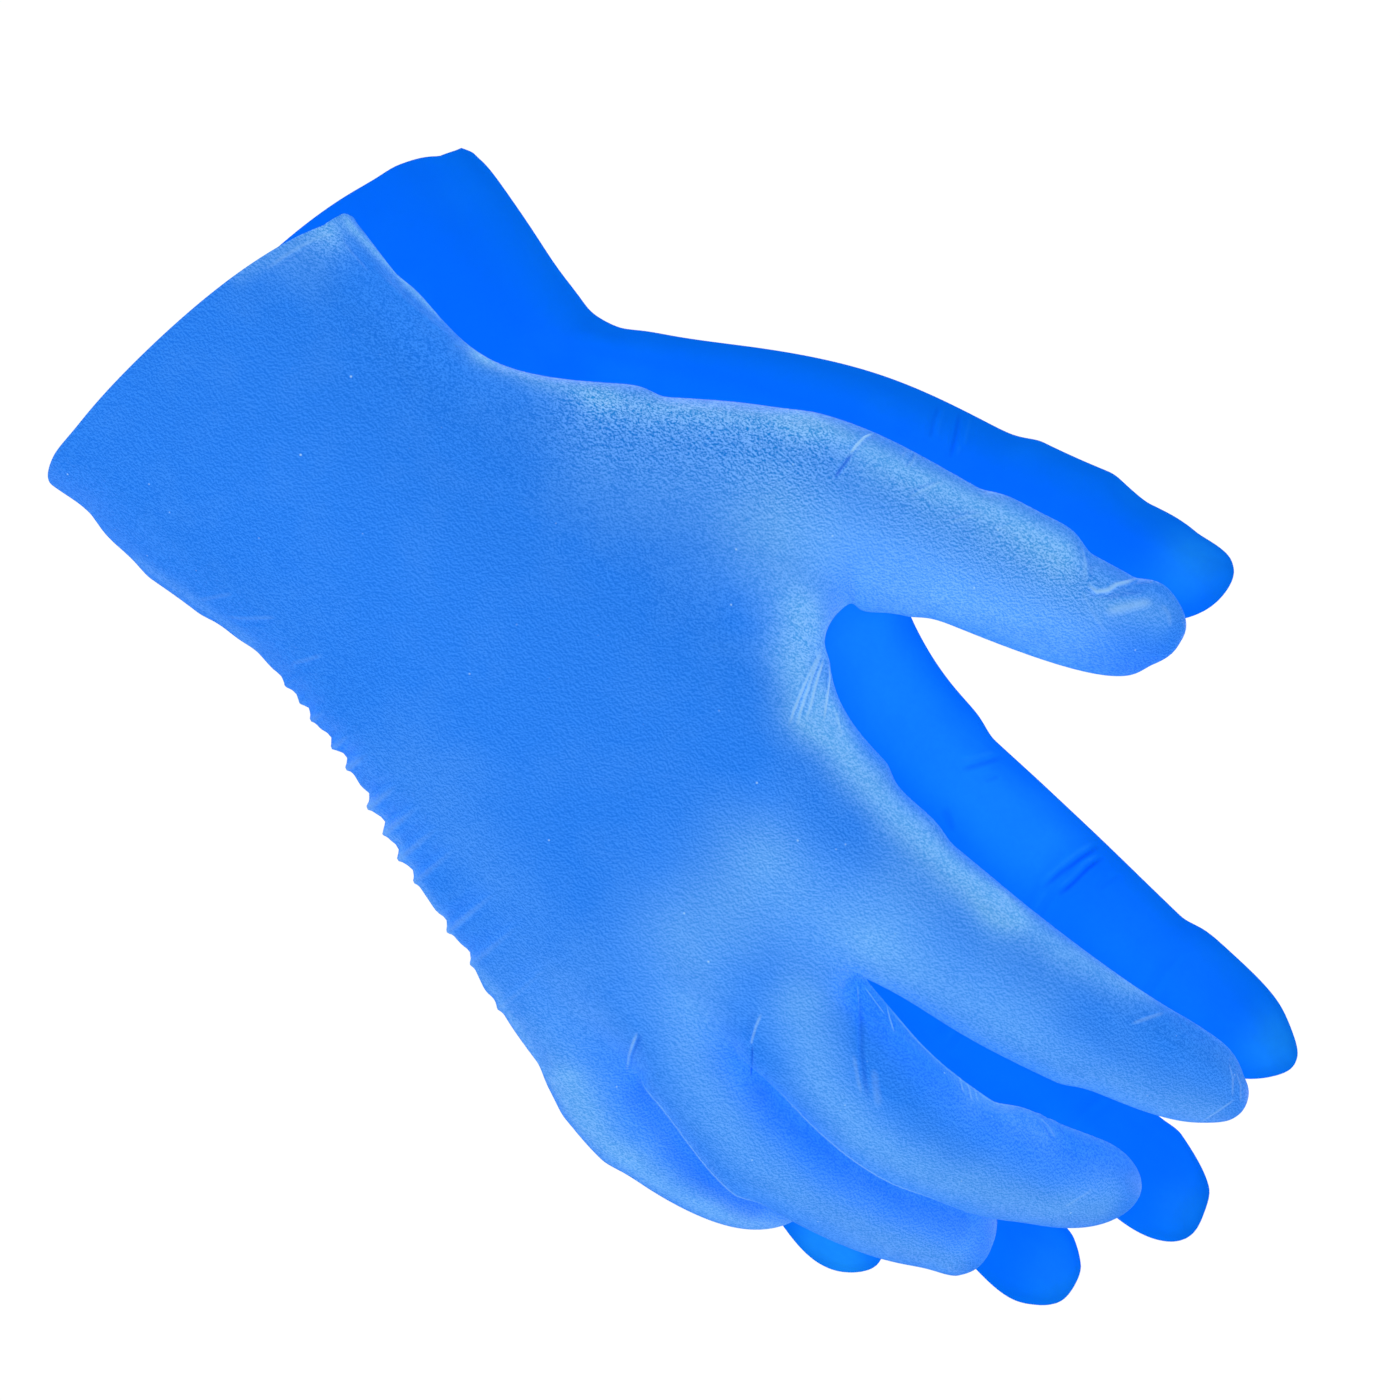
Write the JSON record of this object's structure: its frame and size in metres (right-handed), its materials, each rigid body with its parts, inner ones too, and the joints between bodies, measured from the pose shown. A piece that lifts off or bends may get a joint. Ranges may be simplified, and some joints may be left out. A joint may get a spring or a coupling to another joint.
{
  "type": "disposable glove pair",
  "caption": "Right and left disposable nitrile gloves, filled out as if worn, palms facing: thin seamless blue film with a rolled bead at each open cuff.",
  "frame": {"origin": "centre of the right glove's cuff opening", "axes": "+X from the cuff to the fingertips, +Z to the thumb side, +Y from the back of the right hand to its palm and on to the left glove"},
  "size_m": [0.2418, 0.147, 0.15],
  "materials": {
    "grained_nitrile": "fine pebble grain, satin",
    "smooth_nitrile": "smooth satin"
  },
  "bodies": {
    "right": {"right_glove": "grained_nitrile"},
    "left": {"left_glove": "smooth_nitrile"}
  },
  "joints": [
    {"name": "left_apart", "type": "slide", "parent": "right", "child": "left", "axis": [0, 1, 0], "range_m": [0, 0.25]}
  ]
}
